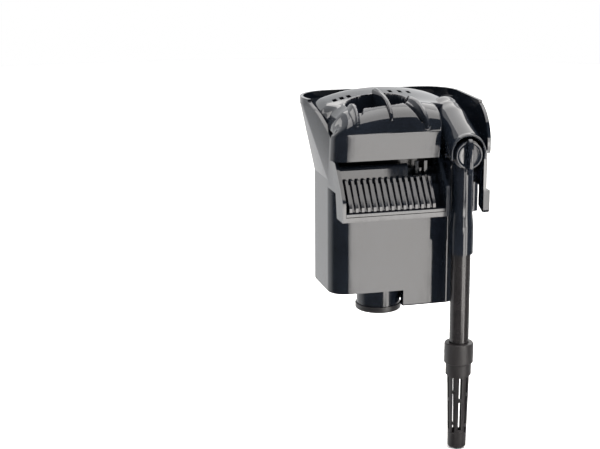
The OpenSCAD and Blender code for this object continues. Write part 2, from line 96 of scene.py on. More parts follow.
class FilterFinish(bpy.types.PropertyGroup):
    """Colours of the mouldings and the media."""

    gloss: bpy.props.FloatVectorProperty(
        name="Gloss black", description="Glossy mouldings",
        default=(0.0045, 0.006, 0.009), subtype="COLOR",
    )
    smoke: bpy.props.FloatVectorProperty(
        name="Smoke black", description="Tube, strainer, basket and duct",
        default=(0.010, 0.009, 0.0095), subtype="COLOR",
    )
    pump: bpy.props.FloatVectorProperty(
        name="Pump black", description="Pump cap and cover", default=(0.012, 0.012, 0.013), subtype="COLOR"
    )
    sponge: bpy.props.FloatVectorProperty(
        name="Sponge", description="Open-cell foam", default=(0.022, 0.034, 0.06), subtype="COLOR"
    )
    fleece: bpy.props.FloatVectorProperty(
        name="Fleece", description="Bag round the carbon", default=(0.66, 0.67, 0.64), subtype="COLOR"
    )


class FilterStudio(bpy.types.PropertyGroup):
    """Camera and lights."""

    azimuth: bpy.props.FloatProperty(
        name="Azimuth", description="Turn of the camera to the left",
        default=math.radians(17.96), subtype="ANGLE",
    )
    tilt: bpy.props.FloatProperty(
        name="Tilt", description="Look down of the camera", default=math.radians(15.76), subtype="ANGLE"
    )
    roll: bpy.props.FloatProperty(
        name="Roll", description="Turn about the line of sight",
        default=math.radians(0.57), subtype="ANGLE",
    )
    distance: bpy.props.FloatProperty(
        name="Distance", description="Camera to the rim seat, before its offset",
        default=0.96182, unit="LENGTH",
    )
    lens: bpy.props.FloatProperty(name="Lens", description="Focal length in millimetres", default=90.04)
    shift: bpy.props.FloatVectorProperty(
        name="Shift", description="Framing shift of the lens", size=2, default=(-0.1497, 0.0629)
    )
    offset: bpy.props.FloatVectorProperty(
        name="Offset", description="Move of the camera to its left and down", size=2,
        default=(0.00429, 0.04871), unit="LENGTH",
    )
    card: bpy.props.FloatProperty(
        name="Card", description="Brightness of the softbox in front of the panel", default=7.2
    )


# ---------- small helpers ----------


def deselect():
    if bpy.context.object and bpy.context.object.mode != "OBJECT":
        bpy.ops.object.mode_set(mode="OBJECT")
    bpy.ops.object.select_all(action="DESELECT")


def pick(obj):
    deselect()
    obj.select_set(True)
    bpy.context.view_layer.objects.active = obj


def edit(obj):
    pick(obj)
    bpy.ops.object.mode_set(mode="EDIT")
    bpy.ops.mesh.select_all(action="SELECT")


def edit_faces(obj):
    """Edit mode on the faces that are already selected."""
    bpy.context.view_layer.objects.active = obj
    bpy.ops.object.mode_set(mode="EDIT")
    bpy.ops.mesh.select_mode(type="FACE")


def done():
    bpy.ops.object.mode_set(mode="OBJECT")


def settle(obj):
    """Puts the place, turn and size of obj into its mesh."""
    pick(obj)
    bpy.ops.object.transform_apply(location=True, rotation=True, scale=True)


def smooth(obj, angle=40):
    pick(obj)
    bpy.ops.object.shade_smooth_by_angle(angle=math.radians(angle), keep_sharp_edges=False)


def round_edges(obj, width, segments=2, angle=32):
    pick(obj)
    bevel = obj.modifiers.new("rounded", "BEVEL")
    bevel.limit_method = "ANGLE"
    bevel.angle_limit = math.radians(angle)
    bevel.width = width
    bevel.segments = segments
    bevel.use_clamp_overlap = True
    bpy.ops.object.modifier_apply(modifier=bevel.name)


def flatten_shading(obj):
    """Keeps wide flat faces flat in a reflection, beside their rounded edges."""
    pick(obj)
    weighted = obj.modifiers.new("flat faces", "WEIGHTED_NORMAL")
    weighted.keep_sharp = True
    weighted.weight = 80
    bpy.ops.object.modifier_apply(modifier=weighted.name)


def cad_copy(node, name):
    """A merged copy of a CAD node's mesh, with its flat faces joined again."""
    obj = bpy.data.objects.new(name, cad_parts[node].data.copy())
    bpy.context.scene.collection.objects.link(obj)
    obj.data.materials.clear()
    edit(obj)
    bpy.ops.mesh.remove_doubles(threshold=2e-6)
    bpy.ops.mesh.dissolve_limited(angle_limit=math.radians(0.6))
    done()
    if "custom_normal" in obj.data.attributes:
        obj.data.attributes.remove(obj.data.attributes["custom_normal"])
    return obj


def finish_piece(obj, body, material, slot, *nodes):
    """Gives a piece its material and its body, and hides the CAD nodes that it stands for; its slot argument
    is not used.
    """
    obj.data.materials.clear()
    obj.data.materials.append(material)
    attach(obj, body)
    if nodes:
        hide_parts(*nodes)


def moulded(node, body, material, slot, width, segments=2):
    """A CAD node with its edges rounded as a mould leaves them."""
    obj = cad_copy(node, node + "_moulding")
    round_edges(obj, width, segments)
    smooth(obj, 38)
    flatten_shading(obj)
    finish_piece(obj, body, material, slot, node)


# ---------- shader groups ----------


def new_group(name, inputs, outputs):
    tree = bpy.data.node_groups.new(name, "ShaderNodeTree")
    for label, kind, value in inputs:
        socket = tree.interface.new_socket(name=label, in_out="INPUT", socket_type=kind)
        if value is not None:
            socket.default_value = value
    for label, kind in outputs:
        tree.interface.new_socket(name=label, in_out="OUTPUT", socket_type=kind)
    return tree, tree.nodes.new("NodeGroupInput"), tree.nodes.new("NodeGroupOutput")


def feed(tree, socket, value):
    """Sets a socket to a number, or links it to another socket."""
    if isinstance(value, bpy.types.NodeSocket):
        tree.links.new(value, socket)
    else:
        socket.default_value = value


def noise(tree, vector, scale, detail, roughness):
    node = tree.nodes.new("ShaderNodeTexNoise")
    node.inputs["Detail"].default_value = detail
    node.inputs["Roughness"].default_value = roughness
    feed(tree, node.inputs["Scale"], scale)
    feed(tree, node.inputs["Vector"], vector)
    return node.outputs["Fac"]


def maths(tree, operation, a, b):
    node = tree.nodes.new("ShaderNodeMath")
    node.operation = operation
    feed(tree, node.inputs[0], a)
    feed(tree, node.inputs[1], b)
    return node.outputs[0]


def spread(tree, value, low, high, to_low, to_high):
    """Maps value from low..high to to_low..to_high, and holds it there beyond them."""
    node = tree.nodes.new("ShaderNodeMapRange")
    node.inputs["From Min"].default_value = low
    node.inputs["From Max"].default_value = high
    node.inputs["To Min"].default_value = to_low
    node.inputs["To Max"].default_value = to_high
    feed(tree, node.inputs["Value"], value)
    return node.outputs[0]


def mixed(tree, factor, a, b):
    """The colour a, turning to b where factor is 1."""
    node = tree.nodes.new("ShaderNodeMix")
    node.data_type = "RGBA"
    feed(tree, node.inputs["Factor"], factor)
    feed(tree, node.inputs["A"], a)
    feed(tree, node.inputs["B"], b)
    return node.outputs["Result"]


def bumped(tree, shader, height, strength, depth):
    """Raises the surface of shader by height."""
    node = tree.nodes.new("ShaderNodeBump")
    node.inputs["Strength"].default_value = strength
    node.inputs["Distance"].default_value = depth
    feed(tree, node.inputs["Height"], height)
    feed(tree, shader.inputs["Normal"], node.outputs["Normal"])


def handling_group():
    """Faint smudges and wipe marks: a roughness that drifts round a base value."""
    tree, inp, out = new_group(
        "handling marks",
        [("Base", "NodeSocketFloat", 0.1), ("Amount", "NodeSocketFloat", 0.05),
         ("Scale", "NodeSocketFloat", 40.0)],
        [("Roughness", "NodeSocketFloat")],
    )
    where = tree.nodes.new("ShaderNodeTexCoord").outputs["Object"]
    cloud = noise(tree, where, inp.outputs["Scale"], 4.0, 0.55)
    stretch = tree.nodes.new("ShaderNodeMapping")
    stretch.inputs["Scale"].default_value = (1.0, 1.0, 0.12)
    tree.links.new(where, stretch.inputs["Vector"])
    wipe = noise(tree, stretch.outputs[0], 620.0, 2.0, 0.6)
    both = maths(tree, "MULTIPLY", cloud, wipe)
    drift = spread(tree, both, 0.18, 0.36, 0.0, 1.0)
    add = maths(tree, "MULTIPLY", drift, inp.outputs["Amount"])
    tree.links.new(maths(tree, "ADD", inp.outputs["Base"], add), out.inputs["Roughness"])
    return tree


def ripple_group():
    """Height of a moulded skin: slow sink ripple under a fine grain."""
    tree, inp, out = new_group(
        "moulded skin",
        [("Ripple", "NodeSocketFloat", 1.0), ("Grain", "NodeSocketFloat", 0.1),
         ("Grain Scale", "NodeSocketFloat", 2600.0)],
        [("Height", "NodeSocketFloat")],
    )
    where = tree.nodes.new("ShaderNodeTexCoord").outputs["Object"]
    slow = noise(tree, where, 34.0, 1.0, 0.4)
    fine = noise(tree, where, inp.outputs["Grain Scale"], 2.0, 0.6)
    sink = maths(tree, "MULTIPLY", slow, inp.outputs["Ripple"])
    grain = maths(tree, "MULTIPLY", fine, inp.outputs["Grain"])
    tree.links.new(maths(tree, "ADD", sink, grain), out.inputs["Height"])
    return tree


DUST = (0.30, 0.29, 0.27, 1.0)


def tone_group():
    """A colour that wanders between two tones, with pale dust specks."""
    tree, inp, out = new_group(
        "tone drift",
        [("Deep", "NodeSocketColor", (0, 0, 0, 1)), ("Light", "NodeSocketColor", (0.1, 0.1, 0.1, 1)),
         ("Scale", "NodeSocketFloat", 30.0), ("Dust", "NodeSocketFloat", 0.0)],
        [("Color", "NodeSocketColor")],
    )
    where = tree.nodes.new("ShaderNodeTexCoord").outputs["Object"]
    cloud = noise(tree, where, inp.outputs["Scale"], 3.0, 0.6)
    drift = spread(tree, cloud, 0.32, 0.68, 0.0, 1.0)
    tone = mixed(tree, drift, inp.outputs["Deep"], inp.outputs["Light"])
    speck = noise(tree, where, 1500.0, 1.0, 0.5)
    mask = maths(tree, "MULTIPLY", spread(tree, speck, 0.70, 0.78, 0.0, 1.0), inp.outputs["Dust"])
    tree.links.new(mixed(tree, mask, tone, DUST), out.inputs["Color"])
    return tree


GROUP_MAKERS = {"handling": handling_group, "skin": ripple_group, "tone": tone_group}
GROUPS = {}


def place(tree, name, **values):
    """Puts a shader group in a material, with values for its inputs. The group is made at its first use."""
    if name not in GROUPS:
        GROUPS[name] = GROUP_MAKERS[name]()
    node = tree.nodes.new("ShaderNodeGroup")
    node.node_tree = GROUPS[name]
    for label, value in values.items():
        node.inputs[label.replace("_", " ")].default_value = value
    return node


def rgba(colour, gain=1.0):
    return (*[min(1.0, c * gain) for c in colour[:3]], 1.0)


def blank(name):
    """A new material with its node tree and its shader."""
    mat = bpy.data.materials.new(name)
    mat.use_nodes = True
    return mat, mat.node_tree, mat.node_tree.nodes["Principled BSDF"]


def plastic(name, colour, rough, smudge, ripple, grain, bump, lift=1.7, grain_scale=2600.0, specular=0.5,
            dust=0.0, metal=0.0):
    """A moulded or turned finish: drifting tone, handling marks and a bumped skin."""
    mat, tree, shader = blank(name)
    tone = place(tree, "tone", Deep=rgba(colour), Light=rgba(colour, lift), Scale=30.0, Dust=dust)
    tree.links.new(tone.outputs["Color"], shader.inputs["Base Color"])
    marks = place(tree, "handling", Base=rough, Amount=smudge, Scale=40.0)
    tree.links.new(marks.outputs["Roughness"], shader.inputs["Roughness"])
    skin = place(tree, "skin", Ripple=ripple, Grain=grain, Grain_Scale=grain_scale)
    bumped(tree, shader, skin.outputs["Height"], bump, 0.4 * MM)
    shader.inputs["Specular IOR Level"].default_value = specular
    shader.inputs["Metallic"].default_value = metal
    return mat


def foam(name, colour):
    """Open-cell foam: paler cell walls, with painted shade darkening the pores between them."""
    mat, tree, shader = blank(name)
    where = tree.nodes.new("ShaderNodeTexCoord").outputs["Object"]
    cell = tree.nodes.new("ShaderNodeTexVoronoi")
    cell.feature = "DISTANCE_TO_EDGE"
    cell.inputs["Scale"].default_value = 720.0
    tree.links.new(where, cell.inputs["Vector"])
    wall = spread(tree, cell.outputs["Distance"], 0.02, 0.20, 1.0, 0.0)
    tone = place(tree, "tone", Deep=rgba(colour, 1.2), Light=rgba(colour, 2.4), Scale=60.0, Dust=0.0)
    # the middle of each cell is darkened to a quarter of the foam colour: painted shade in the pores
    walls_and_pore_shade = mixed(tree, wall, rgba(colour, 0.25), tone.outputs["Color"])
    tree.links.new(walls_and_pore_shade, shader.inputs["Base Color"])
    bumped(tree, shader, wall, 0.9, 0.6 * MM)
    shader.inputs["Roughness"].default_value = 0.9
    shader.inputs["Specular IOR Level"].default_value = 0.2
    shader.inputs["Sheen Weight"].default_value = 0.15
    return mat


CARBON = (0.16, 0.16, 0.16, 1.0)


def fleece(name, colour):
    """Bonded fleece: crossed fibres, with the carbon showing faintly through."""
    mat, tree, shader = blank(name)
    where = tree.nodes.new("ShaderNodeTexCoord").outputs["Object"]
    fibres = []
    for turn in (0.4, 1.5, 2.6):
        lay = tree.nodes.new("ShaderNodeMapping")
        lay.inputs["Rotation"].default_value = (0.3, 0.2, turn)
        lay.inputs["Scale"].default_value = (1.0, 0.10, 0.10)
        tree.links.new(where, lay.inputs["Vector"])
        fibres.append(noise(tree, lay.outputs[0], 2600.0, 2.0, 0.6))
    web = maths(tree, "MAXIMUM", maths(tree, "MAXIMUM", fibres[0], fibres[1]), fibres[2])
    grains = tree.nodes.new("ShaderNodeTexVoronoi")
    grains.inputs["Scale"].default_value = 380.0
    tree.links.new(where, grains.inputs["Vector"])
    shade = spread(tree, grains.outputs["Distance"], 0.2, 0.7, 0.42, 0.0)
    tone = place(tree, "tone", Deep=rgba(colour, 0.85), Light=rgba(colour, 1.08), Scale=120.0, Dust=0.0)
    tree.links.new(mixed(tree, shade, tone.outputs["Color"], CARBON), shader.inputs["Base Color"])
    bumped(tree, shader, web, 0.5, 0.3 * MM)
    shader.inputs["Roughness"].default_value = 0.85
    shader.inputs["Sheen Weight"].default_value = 0.3
    return mat


# each finish has the name of a colour in FilterFinish, or a colour of its own, and its values for plastic()
RECIPES = {
    "gloss_black": ("gloss", dict(rough=0.055, smudge=0.06, ripple=0.9, grain=0.01, bump=0.10, dust=0.02)),
    "gloss_shell": ("gloss", dict(rough=0.05, smudge=0.05, ripple=1.0, grain=0.008, bump=0.10, dust=0.02)),
    "smoke_black": ("smoke", dict(rough=0.19, smudge=0.08, ripple=0.6, grain=0.05, bump=0.12, dust=0.03)),
    "strainer_black": (
        "smoke", dict(rough=0.42, smudge=0.10, ripple=0.6, grain=0.25, bump=0.25, lift=2.0, dust=0.06)),
    "pump_gloss": ("gloss", dict(rough=0.10, smudge=0.06, ripple=0.6, grain=0.02, bump=0.10, dust=0.02)),
    "pump_black": ("pump", dict(rough=0.34, smudge=0.10, ripple=0.4, grain=0.2, bump=0.2, dust=0.05)),
    "rubber": (
        (0.012, 0.012, 0.012),
        dict(rough=0.62, smudge=0.12, ripple=0.3, grain=0.4, bump=0.3, specular=0.35, dust=0.1)),
    "core_steel": (
        (0.32, 0.33, 0.35),
        dict(rough=0.36, smudge=0.16, ripple=0.2, grain=0.5, bump=0.3, lift=1.25, metal=1.0)),
    "bobbin": ((0.60, 0.56, 0.44), dict(rough=0.45, smudge=0.1, ripple=0.4, grain=0.2, bump=0.2, lift=1.15)),
    "copper_wire": (
        (0.56, 0.22, 0.08),
        dict(rough=0.28, smudge=0.1, ripple=0.3, grain=0.6, grain_scale=1800.0, bump=0.5, lift=1.3,
             metal=1.0)),
    "shaft_steel": (
        (0.62, 0.62, 0.63),
        dict(rough=0.16, smudge=0.1, ripple=0.1, grain=0.2, bump=0.1, lift=1.1, metal=1.0)),
    "magnet": (
        (0.05, 0.05, 0.055),
        dict(rough=0.5, smudge=0.15, ripple=0.2, grain=0.8, bump=0.4, lift=1.4, specular=0.6)),
    "impeller_white": (
        (0.72, 0.72, 0.69), dict(rough=0.32, smudge=0.1, ripple=0.5, grain=0.1, bump=0.15, lift=1.08)),
}
FINISHES = {}


def finish(name):
    """The material of that name, made at its first use."""
    if name in FINISHES:
        return FINISHES[name]
    look = bpy.context.scene.filter_finish
    if name == "sponge":
        FINISHES[name] = foam(name, look.sponge)
    elif name == "carbon_fleece":
        FINISHES[name] = fleece(name, look.fleece)
    else:
        colour, values = RECIPES[name]
        if isinstance(colour, str):
            colour = getattr(look, colour)
        FINISHES[name] = plastic(name, colour, **values)
    return FINISHES[name]


# ---------- pieces ----------


class FILTER_OT_shell(bpy.types.Operator):
    """Glossy housing with its spill tray, and the ribbed grate"""

    bl_idname = "filter.shell"
    bl_label = "Housing and grate"

    def execute(self, context):
        size = context.scene.filter_sizes
        housing = cad_copy("housing", "housing_moulding")
        self.round_foot(housing)
        round_edges(housing, size.shell_edge)
        smooth(housing, 38)
        flatten_shading(housing)
        finish_piece(housing, "housing", finish("gloss_shell"), "gloss_black", "housing")
        moulded("spillway_grate", "housing", finish("gloss_black"), "gloss_black", size.fine_edge)
        return {"FINISHED"}

    def round_foot(self, obj):
        """A wider radius on the outer bottom edges, away from the pump's socket."""
        low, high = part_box("motor_cap")
        axis = (low + high) / 2
        foot_top, socket_radius = -60 * MM, 22 * MM
        verts, faces = obj.data.vertices, obj.data.polygons
        beside = {}
        for f in faces:
            for key in f.edge_keys:
                beside.setdefault(key, []).append(f)
        weights = obj.data.attributes.new("bevel_weight_edge", "FLOAT", "EDGE")
        for e in obj.data.edges:
            pair = beside.get(tuple(sorted(e.vertices)), [])
            middle = (verts[e.vertices[0]].co + verts[e.vertices[1]].co) / 2
            off_axis = math.hypot(middle.x - axis.x, middle.y - axis.y)
            if len(pair) != 2 or middle.z > foot_top or off_axis < socket_radius:
                continue
            under, side = sorted(pair, key=lambda f: f.normal.z)
            outward = (side.center - middle).dot(under.normal) < 0
            if under.normal.z < -0.95 and abs(side.normal.z) < 0.5 and outward:
                weights.data[e.index].value = 1.0
        pick(obj)
        bevel = obj.modifiers.new("foot", "BEVEL")
        bevel.limit_method = "WEIGHT"
        bevel.width = 2.2 * MM
        bevel.segments = 5
        bpy.ops.object.modifier_apply(modifier=bevel.name)


def ease(x, low, high):
    """0 at low, 1 at high, with a soft start and stop. low may be above high."""
    t = min(1.0, max(0.0, (x - low) / (high - low)))
    return t * t * (3 - 2 * t)


def along(x, t, a, b):
    """Distance of (x, t) from the line a to b, and the share of the way along it."""
    dx, dt = b[0] - a[0], b[1] - a[1]
    k = min(1.0, max(0.0, ((x - a[0]) * dx + (t - a[1]) * dt) / (dx * dx + dt * dt)))
    return math.hypot(x - a[0] - k * dx, t - a[1] - k * dt), k


# The lid's surface is a sheet of rows. t runs round it in millimetres from the top of the front turn: forward
# and down the visor where it is above 0, and back along the top where it is below.
ROLL = 17.0  # radius of the turn from the top of the lid into the visor
TOP_FRONT = (1.5, 38.0)  # Y and Z of the middle of that turn
CROWN, CROWN_X = 125.0, -1.0  # radius of the top from side to side, and the X of its highest line
LID_X = 1.0  # the rear corners draw in towards this X
VISOR_END, ROW_STEP, LID_ROWS = 44.3, 0.6, 167
# faces of a row: round its left end, between the ends, and round its right end
LEFT_STEPS, MIDDLE_STEPS, RIGHT_STEPS = 14, 120, 8
# from (x, t) to (x, t), half width at the start and at the end, and height
CLAWS = (
    ((-29.6, -2.0), (-31.4, 18.5), 3.5, 2.0, 3.0),
    ((8.8, -4.0), (14.3, 23.5), 4.9, 1.7, 2.6),
)
# from (x, t) to (x, t), half width at the start and at the end, half width of the floor, and depth
GROOVES = (
    ((-24.6, 1.0), (-27.0, 10.5), 2.4, 1.2, 0.7, 3.4),
    ((2.4, 2.0), (12.0, 21.0), 1.3, 0.8, 0.3, 1.9),
)
POCKET_FLOOR = 43.0
POCKET_MIDDLE, POCKET_HALF, POCKET_POWER = (-11.2, -7.6), (19.5, 13.6), 2.6
VENT_X, VENT_HALF, VENT_FRONT, VENT_BACK = (-34.0, -29.5, -25.0, 3.0, 9.5, 15.5), 1.15, 24.0, 29.2


def lid_profile(t):
    """Y, Z and the outward direction at t."""
    y0, z0 = TOP_FRONT
    if t > ROLL * math.pi / 2:
        down = t - ROLL * math.pi / 2
        lean = 0.14
        return y0 - ROLL + lean * down, z0 - down, -1.0, -lean
    if t > 0:
        a = t / ROLL
        return y0 - ROLL * math.sin(a), z0 + ROLL * math.cos(a), -math.sin(a), math.cos(a)
    y = y0 - t
    rise = 3.0 * ease(y, 1.5, 40.0)
    fall = 2.0 * ease(y, 40.0, 52.0)
    return y, z0 + ROLL + rise - fall, 0.0, 1.0


def lid_edges(t):
    """Left and right ends of the lid at t. Both move out at the back, and the left on the visor too."""
    y = lid_profile(t)[0]
    left = -43.4 - 4.7 * ease(y, 12.0, 24.0) - 2.8 * ease(t, 14.0, 30.0)
    right = 24.4 + 22.8 * ease(y, 2.5, 13.0)
    return left, right


def lid_height(x, t):
    """Rise of the claws and fall of the grooves at x and t."""
    up = 0.0
    for start, end, wide, narrow, height in CLAWS:
        d, k = along(x, t, start, end)
        up = max(up, height * max(0.0, 1 - (d / (wide - (wide - narrow) * k)) ** 2) ** 1.2)
    for start, end, wide, narrow, floor, depth in GROOVES:
        d, k = along(x, t, start, end)
        up -= depth * ease(d, wide - (wide - narrow) * k, floor)
    return up


def in_pocket(x, t):
    """1 on the floor of the finger pocket, 0 outside it."""
    (x0, t0), (half_x, half_t), p = POCKET_MIDDLE, POCKET_HALF, POCKET_POWER
    beyond = (abs((x - x0) / half_x) ** p + abs((t - t0) / half_t) ** p) ** (1 / p) - 1
    return ease(beyond * 15.0, 0.6, -0.9)


def lid_point(x, t, sink_left, sink_right):
    """A point of the outer surface, sunk at the two ends of its row."""
    y, z, ny, nz = lid_profile(t)
    fall = (CROWN - math.sqrt(CROWN ** 2 - (x - CROWN_X) ** 2)) * ease(t, 30.0, 6.0)
    up = lid_height(x, t) * (1 - ease(sink_left, 0.0, 3.0))
    y, z = y + ny * up, z + nz * up - fall
    # the ends sink down on the top and back into the housing on the visor
    turn = math.pi / 2 * ease(t, -4.0, 34.0)
    sink = sink_left + sink_right
    y, z = y + sink * math.sin(turn), z - sink * math.cos(turn)
    return Vector((x, y, z + (POCKET_FLOOR - z) * in_pocket(x, t))) * MM


def row_places(left, right, r_left, r_right):
    """X across a row, each with the sink of the rounded left end and of the rounded right end."""
    out = []
    for i in range(LEFT_STEPS + 1):
        a = i / LEFT_STEPS * math.pi / 2
        out.append((left + r_left * (1 - math.cos(a)), r_left * (1 - math.sin(a)), 0.0))
    inner_left, inner_right = left + r_left, right - r_right
    for i in range(1, MIDDLE_STEPS):
        out.append((inner_left + (inner_right - inner_left) * i / MIDDLE_STEPS, 0.0, 0.0))
    for i in range(RIGHT_STEPS + 1):
        a = (1 - i / RIGHT_STEPS) * math.pi / 2
        out.append((right - r_right * (1 - math.cos(a)), 0.0, r_right * (1 - math.sin(a))))
    return out


class FILTER_OT_lid(bpy.types.Operator):
    """Lid shell with its rolled visor, finger pocket, claws and vents"""

    bl_idname = "filter.lid"
    bl_label = "Lid"

    def execute(self, context):
        across = LEFT_STEPS + MIDDLE_STEPS + RIGHT_STEPS + 1
        deselect()
        bpy.ops.mesh.primitive_grid_add(x_subdivisions=across - 1, y_subdivisions=LID_ROWS - 1, size=0.1)
        obj = context.object
        obj.name = "lid_shell"
        for j in range(LID_ROWS):
            t = VISOR_END - ROW_STEP * j
            left, right = lid_edges(t)
            # the right end of the visor is nearly square, the sides of the top roll down to the seat
            r_left = 8.5 + 1.5 * ease(t, 24.0, 6.0)
            r_right = 1.2 + 4.8 * ease(t, 4.0, -10.0)
            # at the back the rows draw in, which rounds the corners, and roll down
            back = ease(t, -48.0, -56.2)
            pull = 1.0 - 0.10 * back ** 2
            drop = 10.0 * (1 - math.sqrt(1 - back ** 2))
            for i, (x, sink_left, sink_right) in enumerate(row_places(left, right, r_left, r_right)):
                p = lid_point((x - LID_X) * pull + LID_X, t, sink_left, sink_right)
                p.z -= drop * MM
                obj.data.vertices[j * across + i].co = p
        self.vent(obj)
        edit(obj)
        bpy.ops.mesh.normals_make_consistent(inside=False)
        done()
        pick(obj)
        shell = obj.modifiers.new("shell", "SOLIDIFY")
        shell.thickness = 1.6 * MM
        shell.offset = -1.0
        shell.use_even_offset = False
        bpy.ops.object.modifier_apply(modifier=shell.name)
        smooth(obj, 60)
        finish_piece(obj, "lid", finish("gloss_shell"), "gloss_black", "lid")
        self.fin()
        self.arm()
        return {"FINISHED"}

    def vent(self, obj):
        """Opens the six slots behind the pocket."""
        edit(obj)
        bpy.ops.mesh.select_mode(type="FACE")
        bpy.ops.mesh.select_all(action="DESELECT")
        done()
        for f in obj.data.polygons:
            c = f.center / MM
            f.select = VENT_FRONT < c.y < VENT_BACK and any(abs(c.x - x) < VENT_HALF for x in VENT_X)
        bpy.ops.object.mode_set(mode="EDIT")
        bpy.ops.mesh.delete(type="FACE")
        bpy.ops.mesh.select_mode(type="VERT")
        done()

    def fin(self):
        """Curved blade across the middle of the pocket."""
        left, thick = -9.7, 2.4
        outline = [
            (-12.8, 43), (-14.2, 46.0), (-13.3, 48.8), (-10.9, 52.0), (-7.6, 54.9), (-3.5, 57.0), (4, 58.9),
            (11, 59.9), (17, 60.4), (21, 60.5), (24, 60.2), (26, 58.4), (26.4, 55.5), (25, 50), (22, 43),
        ]
        deselect()
        bpy.ops.mesh.primitive_circle_add(vertices=len(outline), radius=0.01, fill_type="NGON")
        obj = bpy.context.object
        obj.name = "lid_fin"
        for v, (y, z) in zip(obj.data.vertices, outline):
            v.co = Vector((left, y, z)) * MM
        edit(obj)
        bpy.ops.mesh.extrude_region_move(TRANSFORM_OT_translate={"value": (thick * MM, 0, 0)})
        bpy.ops.mesh.select_all(action="SELECT")
        bpy.ops.mesh.normals_make_consistent(inside=False)
        done()
        round_edges(obj, 0.9 * MM, 4, 50)
        smooth(obj, 60)
        finish_piece(obj, "lid", finish("gloss_shell"), "gloss_black", "lid")

    def arm(self):
        """Half pipe that reaches over the siphon, with a rim round its mouth."""
        low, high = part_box("flow_knob")
        axis_x = (low.x + high.x) / 2 / MM
        mouth, length, outer, skirt = -28.9, 55.0, 11.35, 4.2
        front_y, front_z, knee_y, knee_z = -28.75, 25.0, 9.5, 42.0
        side, rings = 24, 44
        across = side + 2
        deselect()
        bpy.ops.mesh.primitive_grid_add(x_subdivisions=across - 1, y_subdivisions=rings - 1, size=0.1)
        obj = bpy.context.object
        obj.name = "lid_arm"
        for j in range(rings):
            y = mouth + length * j / (rings - 1)
            # the axis climbs with the siphon to a knee, which is softened, and goes on over the lid
            axis_z = front_z + (knee_z - front_z) * min(1.0, (y - front_y) / (knee_y - front_y))
            axis_z += 1.5 * ease(y, 9.0, 26.0) - 1.2 * ease(abs(y - knee_y), 9.0, 0.0)
            rim = 0.55 * ease(abs(y - mouth - 0.8), 1.2, 0.5)
            radius = outer + rim - 0.4 * ease(y, -26, 0)
            # the back end dives into the top of the lid
            sunk = 6.0 * ease(y, 16.0, 26.2) ** 2
            for i in range(across):
                a = math.pi * (1 - (i - 1) / (side - 1))
                x, z = axis_x + radius * math.cos(a), axis_z + radius * math.sin(a)
                if i == 0:
                    x, z = axis_x - radius, axis_z - skirt
                elif i == across - 1:
                    x, z = axis_x + radius, axis_z - skirt
                obj.data.vertices[j * across + i].co = Vector((x, y, z - sunk)) * MM
        edit(obj)
        bpy.ops.mesh.normals_make_consistent(inside=False)
        done()
        pick(obj)
        shell = obj.modifiers.new("shell", "SOLIDIFY")
        shell.thickness = 1.5 * MM
        shell.offset = -1.0
        bpy.ops.object.modifier_apply(modifier=shell.name)
        round_edges(obj, 0.5 * MM, 3, 50)
        smooth(obj, 50)
        finish_piece(obj, "lid", finish("gloss_shell"), "gloss_black", "lid")


class FILTER_OT_intake(bpy.types.Operator):
    """Siphon, flow knob, extension tube and strainer"""

    bl_idname = "filter.intake"
    bl_label = "Intake"

    def execute(self, context):
        size = context.scene.filter_sizes
        moulded("intake_u_tube", "housing", finish("gloss_black"), "gloss_black", size.fine_edge)
        self.knob()
        moulded("extension_tube", "extension", finish("smoke_black"), "smoke_black", size.fine_edge)
        moulded("strainer_socket", "strainer", finish("strainer_black"), "smoke_black", size.fine_edge)
        moulded("strainer_basket", "strainer", finish("strainer_black"), "smoke_black", size.fine_edge, 1)
        return {"FINISHED"}

    def knob(self):
        """Round dial with a thin curved grip down its middle."""
        low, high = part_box("flow_knob")
        middle = (low + high) / 2
        # the box reaches farther down than up, because the grip does
        axis_z = middle.z + 1.0 * MM
        dial_depth = 3.0 * MM
        face = high.y - dial_depth
        deselect()
        bpy.ops.mesh.primitive_cylinder_add(
            vertices=72, radius=(high.x - low.x) / 2, depth=dial_depth, end_fill_type="NGON",
            location=(middle.x, high.y - dial_depth / 2, axis_z), rotation=(math.pi / 2, 0, 0))
        dial = bpy.context.object
        dial.name = "knob_dial"
        settle(dial)
        edit(dial)
        bpy.ops.mesh.select_all(action="DESELECT")
        done()
        for f in dial.data.polygons:
            f.select = f.normal.y < -0.9
        edit_faces(dial)
        bpy.ops.mesh.inset(thickness=1.1 * MM)
        bpy.ops.mesh.inset(thickness=1.0 * MM, depth=-0.5 * MM)
        bpy.ops.mesh.inset(thickness=3.0 * MM, depth=-0.25 * MM)
        done()
        round_edges(dial, 0.35 * MM, 3, 20)
        smooth(dial, 40)
        flatten_shading(dial)
        finish_piece(dial, "flow_valve", finish("gloss_black"), "gloss_black", "flow_knob")

        # the grip is an arc that stands farthest out at its middle, and its root turns inside the arm's rim
        deselect()
        half = (high.z - low.z) / 2
        root, neck, back = 9.2 * MM, face + 0.5 * MM, high.y - 0.6 * MM
        points = [(neck, axis_z - root), (back, axis_z - root), (back, axis_z + root), (neck, axis_z + root)]
        steps = 20
        for i in range(steps + 1):
            a = math.pi * (0.5 - i / steps)
            y = face + 0.3 * MM - (face - low.y) * math.cos(a) ** 0.8
            points.append((y, middle.z + half * math.sin(a)))
        bpy.ops.mesh.primitive_circle_add(vertices=len(points), radius=0.01, fill_type="NGON")
        grip = bpy.context.object
        grip.name = "knob_grip"
        thick = 3.0 * MM
        for v, (y, z) in zip(grip.data.vertices, points):
            v.co = (middle.x - thick / 2, y, z)
        edit(grip)
        bpy.ops.mesh.extrude_region_move(TRANSFORM_OT_translate={"value": (thick, 0, 0)})
        bpy.ops.mesh.select_all(action="SELECT")
        bpy.ops.mesh.normals_make_consistent(inside=False)
        done()
        round_edges(grip, 0.6 * MM, 3, 50)
        smooth(grip, 50)
        finish_piece(grip, "flow_valve", finish("gloss_black"), "gloss_black", "flow_knob")


